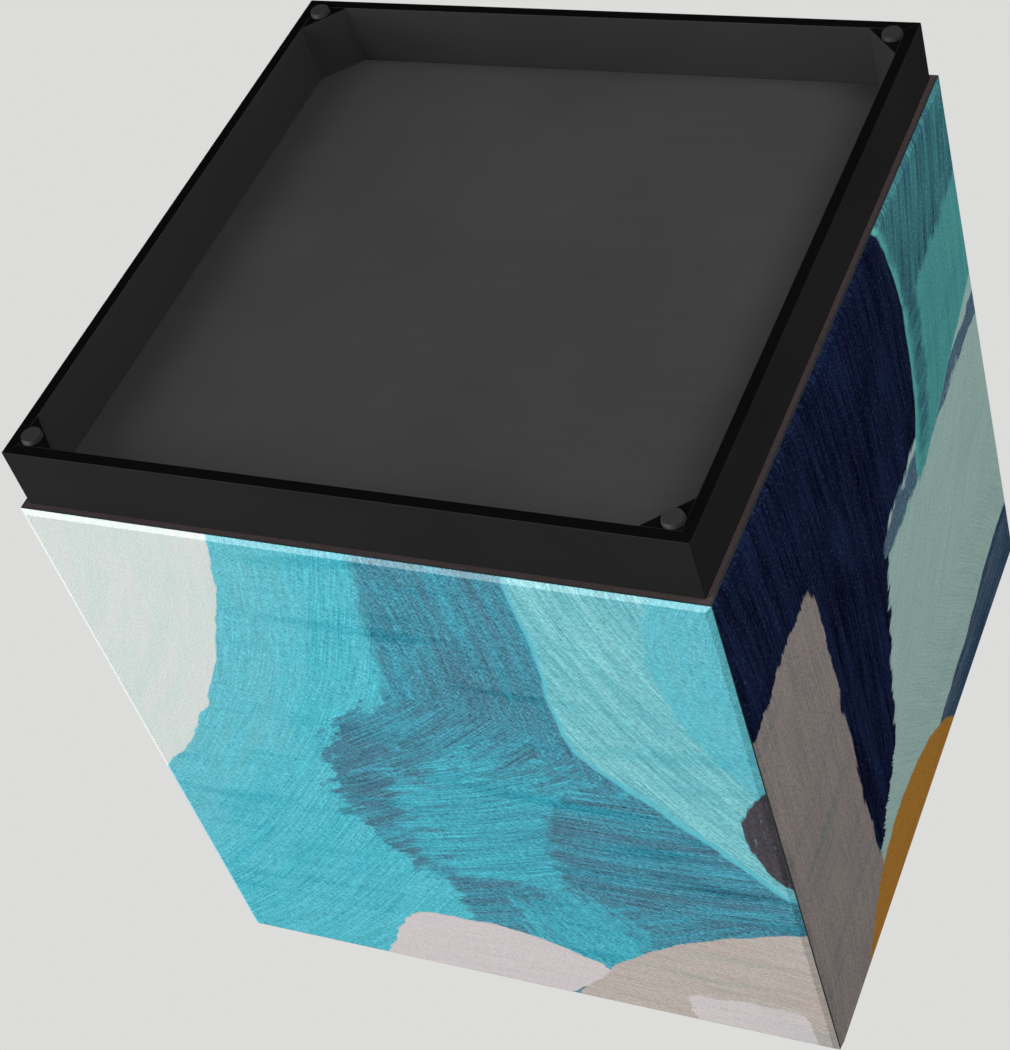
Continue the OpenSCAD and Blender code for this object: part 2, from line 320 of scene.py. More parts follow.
PRINTS = {
    "front": ("turquoise", "turquoise_light", RISING, [
        Field("turquoise_light", "aqua", [("disc", 1.80, -0.19, 1.23)], (1.80, -0.19), 0.012, 0.030, 0.5),
        Field("off_white", "mint_light", [("disc", 1.80, -0.19, 1.11)], (1.80, -0.19), 0.001, 0.0012, 0.02),
        Field("slate_light", "slate", [("left_of", 0.487, 0.0, 81), ("left_of", 0.0, 0.60, 180)],
              UPRIGHT, 0.006, 0.010, 0.9),
        Field("slate", "slate_light", [("disc", 0.46, 0.53, 0.235)], (1.9, -1.4), 0.022, 0.003, 0.75),
        Field("slate_light", "turquoise", [("disc", 0.40, 0.60, 0.19)], (1.2, -1.2), 0.050, 0.030, 0.75),
        Field("slate", "slate_light", [("disc", 0.10, 0.62, 0.27), ("left_of", 0.0, 0.46, -6)],
              (0.3, -1.4), 0.012, 0.008, 0.9),
        Field("slate_light", "slate", [("left_of", 0.555, 0.80, 92), ("left_of", 0.0, 0.70, 2)],
              (1.5, -1.6), 0.010, 0.004, 1.0),
        Field("turquoise", "slate_light", [("disc", 0.36, 0.82, 0.10)], (0.1, 0.6), 0.030, 0.020, 0.8),
        Field("turquoise_light", "turquoise_light",
              [("left_of", 0.274, 0.0, 90), ("left_of", 0.205, 0.415, 134)], UPRIGHT, 0.001, 0.002, 0.1),
        Field("aqua", "aqua_light", [("left_of", 0.268, 0.0, 90), ("left_of", 0.198, 0.408, 134)],
              (-0.9, -0.3), 0.001, 0.002, 0.5),
        Field("turquoise_light", "aqua", [("disc", -0.24, 0.13, 0.35)], (-0.24, 0.13), 0.003, 0.004, 0.4),
        Field("beige", "beige_light", [("disc", -0.15, 1.35, 0.665)], (0.5, 3.5), 0.001, 0.0012, 0.25),
        Field("chalk", "chalk", [("left_of", 0.66, 0.85, 58), ("left_of", 0.50, 0.838, 4),
                                 ("left_of", 0.33, 0.905, -26), ("left_of", 0.36, 0.93, 222)],
              LEVEL, 0.002, 0.0012, 0.12),
        Field("chalk", "chalk", [("left_of", 0.035, 0.9, -86), ("left_of", 0.23, 0.9, 92),
                                 ("left_of", 0.1, 0.918, 3)], LEVEL, 0.003, 0.0012, 0.12),
        Field("plum", "plum", [("disc", -0.12, 0.48, 0.165)], UPRIGHT, 0.002, 0.0015, 0.5),
    ]),
    "left": ("navy", "navy_light", UPRIGHT, [
        Field("mint", "mint_light", [("left_of", 0.505, 0.47, 71), ("left_of", 0.30, 0.40, 8)],
              (1.2, -0.5), 0.006, 0.0022, 0.15),
        Field("mint", "mint_light", [("left_of", 0.585, 0.75, 40), ("left_of", 0.0, 0.745, 1)],
              FALLING, 0.008, 0.0022, 0.15),
        Field("violet", "slate", [("left_of", 0.30, 0.418, 2), ("left_of", 0.40, 0.470, 184),
                                  ("left_of", 0.50, 0.4, 78)], LEVEL, 0.006, 0.0025, 0.7),
        Field("teal_light", "teal_light", [("off_disc", 0.82, 0.22, 0.528), ("left_of", 0.10, 0.402, 200),
                                           ("left_of", 0.25, 0.465, 181)], (0.82, 0.22), 0.001, 0.0015, 0.1),
        Field("teal", "teal_light", [("off_disc", 0.82, 0.22, 0.540), ("left_of", 0.10, 0.396, 200)],
              (0.82, 0.22), 0.002, 0.003, 0.25),
        Field("hatch", "teal", [("off_disc", 0.82, 0.22, 0.546), ("disc", 0.82, 0.22, 0.590),
                                ("left_of", 0.25, 0.450, 184)], LEVEL, 0.006, 0.006, 0.5),
        Field("hatch", "teal", [("off_disc", 0.82, 0.22, 0.542), ("left_of", 0.0, 0.165, 188)],
              RISING, 0.010, 0.004, 0.5),
        Field("taupe", "taupe_light", [("left_of", 0.748, 0.5, -89), ("left_of", 0.88, 0.25, 7)],
              UPRIGHT, 0.0045, 0.0018, 0.35),
        Field("blue", "violet", [("left_of", 0.0, 0.872, 9)], (0.3, -1.5), 0.002, 0.0015, 0.5),
        Field("ochre", "ochre", [("disc", 0.62, 1.20, 0.315)], (0.62, 1.20), 0.001, 0.0012, 0.2),
    ]),
    "back": ("aqua", "turquoise_light", FALLING, [
        Field("turquoise", "turquoise_light", [("disc", 0.86, 0.20, 0.55)], (0.86, 0.20), 0.014, 0.008, 0.7),
        Field("slate_light", "slate", [("left_of", 0.62, 0.5, 70), ("left_of", 0.0, 0.45, -10)],
              (-1.5, -1.0), 0.030, 0.006, 1.0),
        Field("slate", "slate_light", [("disc", 0.30, 0.70, 0.17)], LEVEL, 0.030, 0.008, 1.0),
        Field("beige", "beige_light", [("disc", 0.10, -0.10, 0.52)], LEVEL, 0.001, 0.0012, 0.12),
        Field("off_white", "mint_light", [("disc", 1.05, 1.10, 0.46)], RISING, 0.001, 0.0012, 0.02),
        Field("chalk", "chalk", [("left_of", 0.50, 0.08, 208), ("left_of", 0.80, 0.1, 104),
                                 ("left_of", 0.45, 0.1, -70)], LEVEL, 0.003, 0.0012, 0.12),
        Field("plum", "plum", [("disc", -0.08, 0.62, 0.14)], UPRIGHT, 0.002, 0.0015, 0.5),
    ]),
    "right": ("slate_light", "turquoise", FALLING, [
        Field("slate", "slate_light", [("left_of", 0.60, 0.5, 102), ("left_of", 0.0, 0.55, 190)],
              UPRIGHT, 0.020, 0.008, 1.0),
        Field("turquoise", "turquoise_light", [("disc", 0.42, 0.98, 0.44)], (0.42, 0.98), 0.012, 0.004, 0.7),
        Field("off_white", "mint_light", [("disc", -0.22, 0.06, 0.52)], (-0.22, 0.06), 0.001, 0.0012, 0.02),
        Field("mint", "mint_light", [("left_of", 0.74, 0.5, -84), ("left_of", 0.9, 0.50, 12)],
              RISING, 0.006, 0.002, 0.15),
        Field("navy", "navy_light", [("disc", 1.00, 0.20, 0.38)], UPRIGHT, 0.005, 0.0020, 0.5),
        Field("ochre", "ochre", [("disc", 0.46, -0.14, 0.25)], (0.46, -0.14), 0.001, 0.0012, 0.2),
        Field("taupe", "taupe_light", [("left_of", 0.0, 0.78, 4), ("left_of", 0.20, 0.8, 92)],
              UPRIGHT, 0.0045, 0.0018, 0.35),
    ]),
    "top": ("turquoise", "turquoise_light", RISING, [
        Field("aqua", "aqua_light", [("disc", 0.92, 0.90, 0.42)], (0.92, 0.90), 0.004, 0.002, 0.5),
        Field("slate_light", "slate", [("left_of", 0.62, 0.4, 62), ("left_of", 0.5, 0.44, 20)],
              FALLING, 0.030, 0.006, 1.0),
        Field("off_white", "mint_light", [("disc", 0.04, 0.94, 0.50)], (0.04, 0.94), 0.001, 0.0012, 0.02),
        Field("beige", "beige_light", [("disc", 1.10, -0.04, 0.50)], LEVEL, 0.001, 0.0012, 0.12),
        Field("navy", "navy_light", [("disc", 0.06, -0.02, 0.34)], UPRIGHT, 0.004, 0.0020, 0.5),
        Field("chalk", "chalk", [("left_of", 0.66, 0.86, 62), ("left_of", 0.5, 0.88, -8),
                                 ("left_of", 0.46, 0.9, 250)], LEVEL, 0.003, 0.0012, 0.12),
    ]),
}


def face_coordinates(tree, place, side):
    """(u, v) across and up a pane as it is seen from outside, in metres from its lower left corner."""
    x, y, z = add(tree, "SeparateXYZ", {0: place}).outputs
    half = PANE_W / 2
    across = {"front": (x, 1), "back": (x, -1), "left": (y, -1), "right": (y, 1), "top": (x, 1)}
    axis, way = across[side]
    u = calc(tree, "MULTIPLY_ADD", axis, way, half)
    v = calc(tree, "ADD", y, half) if side == "top" else calc(tree, "SUBTRACT", z, PANE_BOTTOM)
    return add(tree, "CombineXYZ", {0: u, 1: v}).outputs[0]


def vector(tree, operation, *values):
    """A vector operation that gives a vector, or a number where the operation has one."""
    made = add(tree, "VectorMath", dict(enumerate(values)), operation=operation)
    return made.outputs["Value" if operation in ("DOT_PRODUCT", "LENGTH", "DISTANCE") else "Vector"]


def depth_inside(tree, face, outline):
    """How far a point lies inside every shape of an outline, in metres; below zero outside."""
    inside = None
    for kind, u, v, amount in outline:
        point = (u * PANE_W, v * PANE_W, 0)
        if kind == "left_of":
            angle = math.radians(amount)
            normal = (-math.sin(angle), math.cos(angle), 0)
            depth = vector(tree, "DOT_PRODUCT", vector(tree, "SUBTRACT", face, point), normal)
        else:
            radius, reach = amount * PANE_W, vector(tree, "DISTANCE", face, point)
            pair = (radius, reach) if kind == "disc" else (reach, radius)
            depth = calc(tree, "SUBTRACT", *pair)
        inside = depth if inside is None else calc(tree, "SMOOTH_MIN", inside, depth, CORNER_ROUND)
    return inside


def swung_coordinates(tree, face, centre, wobble):
    """Distance along the brush's arcs round a centre, and from the centre, in metres."""
    towards = vector(tree, "SUBTRACT", (PANE_W / 2, PANE_W / 2, 0), centre)
    ahead = vector(tree, "NORMALIZE", towards)
    away = vector(tree, "SUBTRACT", face, centre)
    aside = add(tree, "SeparateXYZ", {0: vector(tree, "CROSS_PRODUCT", ahead, away)}).outputs[2]
    angle = calc(tree, "ARCTAN2", aside, vector(tree, "DOT_PRODUCT", away, ahead))
    along = calc(tree, "MULTIPLY", angle, vector(tree, "LENGTH", towards))
    out = calc(tree, "MULTIPLY_ADD", wobble, WANDER, vector(tree, "LENGTH", away))
    return add(tree, "CombineXYZ", {0: along, 1: out}).outputs[0]


def brush_group():
    """The node group that lays one brushed field over what is under it."""
    group = bpy.data.node_groups.new("brushed_field", "ShaderNodeTree")
    sockets = {
        "Under": "Color", "Under Height": "Float", "Face": "Vector", "Cloud": "Float", "Wobble": "Float",
        "Grain": "Float", "Smear": "Float", "Inside": "Float", "Tone": "Color", "Second": "Color",
        "Centre": "Vector", "Ragged": "Float", "Soft": "Float", "Bristle": "Float",
    }
    for name, kind in sockets.items():
        group.interface.new_socket(name=name, in_out="INPUT", socket_type="NodeSocket" + kind)
    for name, kind in (("Colour", "Color"), ("Height", "Float")):
        group.interface.new_socket(name=name, in_out="OUTPUT", socket_type="NodeSocket" + kind)
    into = group.nodes.new("NodeGroupInput").outputs
    bristle = into["Bristle"]
    brush = swung_coordinates(group, into["Face"], into["Centre"], into["Wobble"])

    def strokes(kind):
        """One kind of brush mark, from -0.5 to 0.5."""
        size, detail = BRUSH_MARKS[kind]
        return calc(group, "SUBTRACT", noise(group, stretched(group, brush, (*size, 1)), detail=detail), 0.5)

    broad, narrow, hair, chunks, gaps = (strokes(kind) for kind in BRUSH_MARKS)
    cloud = calc(group, "SUBTRACT", into["Cloud"], 0.5)

    # Where the field covers what is under it: ragged along its outline, with gaps between dry bristles.
    jag = calc(group, "MULTIPLY_ADD", narrow, 1.6, calc(group, "MULTIPLY", chunks, 3.0))
    outline = calc(group, "MULTIPLY_ADD", cloud, DRIFT, into["Inside"])
    reach = calc(group, "MULTIPLY_ADD", jag, into["Ragged"], outline)
    cover = calc(group, "ADD", calc(group, "DIVIDE", reach, into["Soft"]), 0.5, clamp=True)
    thin = calc(group, "MULTIPLY", remap(group, gaps, 0.14, 0.20), calc(group, "POWER", bristle, 2.0))
    cover = calc(group, "SUBTRACT", cover, thin, clamp=True)

    # Its colour: broad streaks of the second tone, then lighter and darker lines from single bristles.
    patchy = calc(group, "ADD", broad, calc(group, "MULTIPLY", cloud, 0.5))
    streak = calc(group, "MULTIPLY_ADD", narrow, 1.1, patchy)
    shade = calc(group, "MULTIPLY_ADD", streak, 2.6, 0.5, clamp=True)
    shade = calc(group, "MULTIPLY", shade, calc(group, "MULTIPLY_ADD", bristle, 0.6, 0.4))
    tone = blend(group, shade, into["Tone"], into["Second"])
    lines = calc(group, "MULTIPLY_ADD", hair, 1.6, narrow)
    light = calc(group, "MULTIPLY_ADD", lines, calc(group, "MULTIPLY_ADD", bristle, 0.80, 0.08), 1.0)
    light = calc(group, "MULTIPLY_ADD", into["Grain"], calc(group, "MULTIPLY_ADD", bristle, 1.4, 0.12), light)
    smear = calc(group, "MULTIPLY", into["Smear"], bristle)
    tone = blend(group, smear, scaled(group, tone, light), opaque(settings().glass.thin_paint), "MULTIPLY")
    height = calc(group, "MULTIPLY_ADD", lines, bristle, FLAT_HEIGHT)
    out = group.nodes.new("NodeGroupOutput").inputs
    plug(group, out["Colour"], blend(group, cover, into["Under"], tone))
    plug(group, out["Height"], remap(group, cover, 0, 1, into["Under Height"], height))
    return group


def print_material(side, group):
    """Clear glossy glass over one pane's print."""
    made, tree, shader, place = new_material(side + "_print")
    face = face_coordinates(tree, place, side)
    palette = settings().glass
    weave = noise(tree, stretched(tree, face, (0.0052, 0.0013, 1), math.radians(-38)), detail=1)
    cross = noise(tree, stretched(tree, face, (0.0034, 0.0012, 1), math.radians(40)), detail=1)
    grain = calc(tree, "SUBTRACT", calc(tree, "ADD", cross, weave), 1.0)
    stain = noise(tree, stretched(tree, face, (0.170, 0.018, 1), math.radians(3)), detail=3, distortion=0.4)
    shared = {
        "Face": face,
        "Cloud": noise(tree, face, scale=14, detail=3, distortion=0.6),
        "Wobble": noise(tree, face, scale=6, detail=1),
        "Grain": grain,
        "Smear": remap(tree, stain, 0.54, 0.68),
    }
    ground, second, swing, fields = PRINTS[side]
    # The ground is a field whose disc takes in the whole pane.
    whole = Field(ground, second, [("disc", 0.5, 0.5, 2.0)], swing, 0.0, 0.001, 0.6)
    tone, height = opaque(getattr(palette, second)), FLAT_HEIGHT
    for field in [whole, *fields]:
        inputs = {
            **shared,
            "Under": tone,
            "Under Height": height,
            "Inside": depth_inside(tree, face, field.outline),
            "Tone": opaque(getattr(palette, field.tone)),
            "Second": opaque(getattr(palette, field.second)),
            "Centre": (field.swing[0] * PANE_W, field.swing[1] * PANE_W, 0),
            "Ragged": field.ragged,
            "Soft": field.soft,
            "Bristle": field.bristle,
        }
        laid = tree.nodes.new("ShaderNodeGroup")
        laid.node_tree = group
        for name, value in inputs.items():
            plug(tree, laid.inputs[name], value)
        tone, height = laid.outputs["Colour"], laid.outputs["Height"]
    # Painted glint: the highest points of the weave are tinted pale, as if light caught them.
    tone = blend(tree, remap(tree, grain, 0.10, 0.40, 0.0, 0.05), tone, opaque(palette.painted_glint))
    smudge = noise(tree, place, scale=9, detail=2)
    relief = calc(tree, "MULTIPLY_ADD", grain, 0.8, height)
    dress_shader(tree, shader, tone, remap(tree, smudge, 0.3, 0.7, 0.45, 0.60), relief, PRINT_RELIEF)
    shader.inputs["Specular IOR Level"].default_value = 0.0
    shader.inputs["Coat Weight"].default_value = 1.0
    shader.inputs["Coat Roughness"].default_value = 0.03
    shader.inputs["Coat IOR"].default_value = 1.45
    return made


def glass_edge_material():
    """The seamed edge of a pane, where the glass shows its own green grey."""
    made, tree, shader, place = new_material("glass_edge")
    glass = settings().glass
    cloud = noise(tree, place, scale=60, detail=3)
    fine = noise(tree, place, scale=1800, detail=1)
    tone = blend(tree, cloud, opaque(glass.edge), opaque(glass.edge_light))
    dress_shader(tree, shader, tone, remap(tree, fine, 0.3, 0.7, 0.25, 0.45), fine, 0.04 * MM)
    shader.inputs["Coat Weight"].default_value = 0.3
    return made


def pane_back_material():
    """The grey sealing paint on the back of a pane."""
    made, tree, shader, place = new_material("pane_back")
    glass = settings().glass
    cloud = noise(tree, place, scale=25, detail=4)
    grain = noise(tree, place, scale=900)
    tone = blend(tree, cloud, opaque(glass.seal), opaque(glass.seal_light))
    dress_shader(tree, shader, tone, remap(tree, cloud, 0.3, 0.7, 0.55, 0.7), grain, 0.05 * MM)
    return made


# ---------------------------------------------------------------- timber, plastic and metal


def painted_material(name, tone, rough, long_axis=0):
    """Brushed or sprayed paint on wood: faint laying-off marks, dust nibs and an uneven sheen."""
    made, tree, shader, place = new_material(name)
    size = [0.0035, 0.0035, 0.0035]
    size[long_axis] = 0.12
    marks = noise(tree, stretched(tree, place, size), detail=2)
    peel = noise(tree, place, scale=700, detail=2)
    cloud = noise(tree, place, scale=11, detail=3)
    patches = remap(tree, cloud, 0.3, 0.7, 0.93, 1.05)
    light = calc(tree, "ADD", patches, remap(tree, marks, 0.3, 0.7, -0.02, 0.02))
    sheen = calc(tree, "MULTIPLY_ADD", calc(tree, "SUBTRACT", cloud, 0.5), 0.25, rough)
    height = calc(tree, "MULTIPLY_ADD", marks, 0.6, peel)
    dress_shader(tree, shader, scaled(tree, tone, light), sheen, height, 0.06 * MM)
    shader.inputs["Specular IOR Level"].default_value = 0.1
    return made


def fibreboard_material(name, tone, rough=0.85):
    """Cut fibreboard: short felted fibres and darker specks."""
    made, tree, shader, place = new_material(name)
    fibre = noise(tree, place, scale=420, detail=4, roughness=0.65, distortion=1.2)
    speck = noise(tree, place, scale=1500, detail=1)
    cloud = noise(tree, place, scale=18, detail=3)
    felt = remap(tree, fibre, 0.3, 0.7, 0.80, 1.12)
    light = calc(tree, "ADD", felt, remap(tree, cloud, 0.3, 0.7, -0.08, 0.08))
    dark = opaque(settings().timber.speck)
    flecked = blend(tree, remap(tree, speck, 0.62, 0.72, 0.0, 0.5), opaque(tone), dark)
    dull = remap(tree, fibre, 0.3, 0.7, rough - 0.08, rough + 0.05)
    dress_shader(tree, shader, scaled(tree, flecked, light), dull, fibre, 0.12 * MM)
    shader.inputs["Specular IOR Level"].default_value = 0.25
    return made


def softwood_material(name, tone, long_axis):
    """Planed softwood with its growth rings drawn out along the batten."""
    made, tree, shader, place = new_material(name)
    size = [0.010, 0.010, 0.010]
    size[long_axis] = 0.45
    drawn = stretched(tree, place, size)
    wave = {"Vector": drawn, "Scale": 1.1, "Distortion": 5, "Detail": 2, "Detail Scale": 1.2}
    rings = add(tree, "TexWave", wave, wave_type="RINGS", rings_direction="XYZ"[long_axis]).outputs[1]
    fine = noise(tree, drawn, scale=14, detail=3)
    grain = calc(tree, "MULTIPLY_ADD", fine, 0.35, calc(tree, "MULTIPLY", rings, 0.6), clamp=True)
    dark = tuple(channel * share for channel, share in zip(tone, (0.62, 0.50, 0.38)))
    drawn_tone = blend(tree, grain, opaque(tone), opaque(dark))
    dress_shader(tree, shader, drawn_tone, remap(tree, fine, 0.3, 0.7, 0.55, 0.70), grain, 0.08 * MM)
    return made


def nylon_material():
    """Moulded nylon with a fine spark-eroded texture and scuffs on the underside."""
    made, tree, shader, place = new_material("moulded_nylon")
    glides = settings().glides
    grain = noise(tree, place, scale=3200, detail=1)
    scuff = noise(tree, stretched(tree, place, (0.006, 0.0005, 0.002), 0.6), detail=2)
    worn = remap(tree, scuff, 0.60, 0.72, 0.0, 0.35)
    tone = blend(tree, worn, opaque(glides.nylon), opaque(glides.scuff))
    dress_shader(tree, shader, tone, remap(tree, grain, 0.3, 0.7, 0.42, 0.55), grain, 0.03 * MM)
    return made


def metal_material(name, tone, rough):
    """Plated or turned metal with fine turning marks round Z and a cloudy tarnish."""
    made, tree, shader, place = new_material(name)
    turned = noise(tree, stretched(tree, place, (0.02, 0.02, 0.00012)), detail=2)
    cloud = noise(tree, place, scale=160, detail=3)
    dull = tuple(channel * 0.7 for channel in tone)
    tarnished = blend(tree, remap(tree, cloud, 0.4, 0.7), opaque(tone), opaque(dull))
    sheen = remap(tree, cloud, 0.3, 0.7, rough - 0.06, rough + 0.10)
    dress_shader(tree, shader, tarnished, sheen, turned, 0.02 * MM)
    shader.inputs["Metallic"].default_value = 1.0
    return made


# ---------------------------------------------------------------- modelling helpers


def deselect_all():
    """Deselects every object."""
    bpy.ops.object.select_all(action="DESELECT")


def select_only(piece):
    """Selects one piece and makes it the active object."""
    deselect_all()
    piece.select_set(True)
    bpy.context.view_layer.objects.active = piece


def cube_between(low, high):
    """A box primitive between two corners, made the active object with its place in its mesh."""
    deselect_all()
    centre = (Vector(low) + Vector(high)) / 2
    bpy.ops.mesh.primitive_cube_add(size=1, location=centre, scale=Vector(high) - Vector(low))
    bpy.ops.object.transform_apply(location=True, rotation=True, scale=True)
    return bpy.context.object


def select_where(piece, kind, test):
    """Selects only the vertices, edges or polygons that pass a test, and goes to edit mode."""
    mode = {"vertices": "VERT", "edges": "EDGE", "polygons": "FACE"}[kind]
    mesh = piece.data
    for part in (mesh.polygons, mesh.edges, mesh.vertices):
        part.foreach_set("select", [False] * len(part))
    for part in getattr(mesh, kind):
        part.select = test(part)
    bpy.ops.object.mode_set(mode="EDIT")
    bpy.ops.mesh.select_mode(type=mode)


def object_mode():
    """Leaves edit mode."""
    bpy.ops.object.mode_set(mode="OBJECT")


def round_edges(piece, width, segments=2, angle=15):
    """Rounds every edge that turns by more than an angle with a bevel modifier, and applies it."""
    round_off = piece.modifiers.new("round", "BEVEL")
    round_off.width = width
    round_off.segments = segments
    round_off.limit_method = "ANGLE"
    round_off.angle_limit = math.radians(angle)
    bpy.ops.object.modifier_apply(modifier=round_off.name)


def apply_boolean(piece, cutter):
    """Cuts a solid out of a piece and deletes the cutter."""
    select_only(piece)
    cut = piece.modifiers.new("cut", "BOOLEAN")
    cut.operation = "DIFFERENCE"
    cut.object = cutter
    bpy.ops.object.modifier_apply(modifier=cut.name)
    bpy.data.objects.remove(cutter)


def copy_at(piece, place):
    """A copy of a piece with its own mesh, moved or turned by a matrix in that mesh."""
    select_only(piece)
    bpy.ops.object.duplicate(linked=False)
    made = bpy.context.object
    made.matrix_world = place
    bpy.ops.object.transform_apply(location=True, rotation=True, scale=True)
    return made


def finish_piece(piece, name, body, node):
    """Names a piece, shades it with its flat faces flat, hides the CAD node that it replaces and ties it to
    its body.
    """
    select_only(piece)
    piece.name = name
    piece.data.name = name
    bpy.ops.object.shade_smooth_by_angle(angle=math.radians(35))
    flatten = piece.modifiers.new("flatten", "WEIGHTED_NORMAL")
    flatten.keep_sharp = True
    bpy.ops.object.modifier_apply(modifier=flatten.name)
    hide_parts(node)
    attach(piece, body)


# ---------------------------------------------------------------- operators


class TABLE_OT_glass_panes(bpy.types.Operator):
    """Models the five bevelled panes and lays their prints"""

    bl_idname = "side_table.glass_panes"
    bl_label = "Make the glass panes"

    def execute(self, context):
        group = brush_group()
        edge, back = glass_edge_material(), pane_back_material()
        for side in (*SIDES, "top"):
            self.make_pane(side, [print_material(side, group), edge, back])
        return {"FINISHED"}

    def make_pane(self, side, materials):
        """A slab as thick as the pane's edge, with the face drawn out and in to leave the bevel."""
        glass = settings().glass
        outward = OUTWARD[side]
        low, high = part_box(side + "_glass")
        for corner in (low, high):
            if corner.dot(outward) > (low + high).dot(outward) / 2:
                corner -= outward * glass.bevel_drop
        piece = cube_between(low, high)
        select_where(piece, "polygons", lambda face: face.normal.dot(outward) > 0.9)
        bpy.ops.mesh.inset(thickness=glass.bevel_width, depth=glass.bevel_drop)
        object_mode()
        round_edges(piece, glass.arris)
        for material in materials:
            piece.data.materials.append(material)
        for face in piece.data.polygons:
            facing = face.normal.dot(outward)
            face.material_index = 0 if facing > 0.3 else 1 if facing > -0.6 else 2
        finish_piece(piece, side + "_pane", "table", side + "_glass")


class TABLE_OT_plinth(bpy.types.Operator):
    """Models the mitred plinth rails with their long edges eased"""

    bl_idname = "side_table.plinth"
    bl_label = "Make the plinth rails"

    def execute(self, context):
        timber = settings().timber
        for long_axis, sides in enumerate((("front", "back"), ("left", "right"))):
            run = "_along_" + "xy"[long_axis]
            # The inside paint is the outside black made lighter, as painted light in the recess.
            paints = [
                painted_material("rail_paint" + run, timber.rail_black, 0.50, long_axis),
                painted_material("rail_inside" + run, timber.rail_grey, 0.65, long_axis),
                # Painted shade: the same black made darker for the rails' edges.
                painted_material("rail_edge" + run, timber.edge_black, 0.45, long_axis),
            ]
            for side in sides:
                self.make_rail(side, long_axis, paints)
        return {"FINISHED"}

    def make_rail(self, side, long_axis, paints):
        """A board whose inner face is drawn in at both ends for the mitres, then eased and painted."""
        node = side + "_plinth_rail"
        outward = OUTWARD[side]
        low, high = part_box(node)
        thick = abs((high - low).dot(outward))
        middle = (low + high) / 2
        piece = cube_between(low, high)
        for way in (-1, 1):
            select_where(piece, "vertices", lambda vert: (
                (vert.co - middle).dot(outward) < 0 and (vert.co[long_axis] - middle[long_axis]) * way > 0))
            move = Vector((0, 0, 0))
            move[long_axis] = -way * thick
            bpy.ops.transform.translate(value=move)
            object_mode()
        mesh = piece.data

        def runs_along(edge):
            span = mesh.vertices[edge.vertices[0]].co - mesh.vertices[edge.vertices[1]].co
            return abs(span[long_axis]) > 0.9 * span.length

        select_where(piece, "edges", runs_along)
        bpy.ops.mesh.bevel(offset=settings().timber.ease, segments=3, affect="EDGES")
        object_mode()
        for paint in paints:
            mesh.materials.append(paint)
        for face in mesh.polygons:
            facing = face.normal.dot(outward)
            # The outer face takes the black, the inner face the painted light grey and the edges the painted
            # shade.
            face.material_index = 0 if facing > 0.5 else 1 if facing < -0.5 else 2
        finish_piece(piece, side + "_rail", "table", node)


class TABLE_OT_corner_blocks(bpy.types.Operator):
    """Models one corner block with the bore for its glide, and turns copies into the other corners"""

    bl_idname = "side_table.corner_blocks"
    bl_label = "Make the corner blocks"

    def execute(self, context):
        timber = settings().timber
        # The blocks' sides take the lightened inside grey, as painted light.
        paints = [painted_material("block_paint", timber.rail_grey, 0.65, 2),
                  painted_material("block_edge", timber.edge_black, 0.50, 2)]
        first = self.make_block(paints)
        anticlockwise = ("front_left", "front_right", "back_right", "back_left")
        turns = [Matrix.Rotation(quarter * math.pi / 2, 4, "Z") for quarter in range(1, 4)]
        blocks = [first, *(copy_at(first, turn) for turn in turns)]
        for corner, block in zip(anticlockwise, blocks):
            finish_piece(block, corner + "_corner_block", "table", corner + "_block")
        return {"FINISHED"}

    def make_block(self, paints):
        """Half of a square post, cut across its diagonal and bored for the insert and the stud."""
        timber = settings().timber
        low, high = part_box("front_left_block")
        foot_low, foot_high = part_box("front_left_foot")
        bore = (foot_low + foot_high) / 2
        piece = cube_between(low, high)
        select_where(piece, "vertices", lambda vert: True)
        bpy.ops.mesh.bisect(
            plane_co=(low + high) / 2, plane_no=(1, 1, 0), use_fill=True, clear_outer=True)
        object_mode()
        bores = ((timber.insert_bore, timber.insert_depth), (timber.stud_bore, timber.stud_depth))
        for width, depth in bores:
            deselect_all()
            bpy.ops.mesh.primitive_cylinder_add(vertices=48, radius=width / 2, depth=2 * depth,
                                                location=(bore.x, bore.y, low.z))
            apply_boolean(piece, bpy.context.object)
        round_edges(piece, timber.ease / 2, angle=40)
        for paint in paints:
            piece.data.materials.append(paint)
        for face in piece.data.polygons:
            # Top and underside take the painted shade, the sides the painted light.
            face.material_index = 1 if abs(face.normal.z) > 0.5 else 0
        return piece


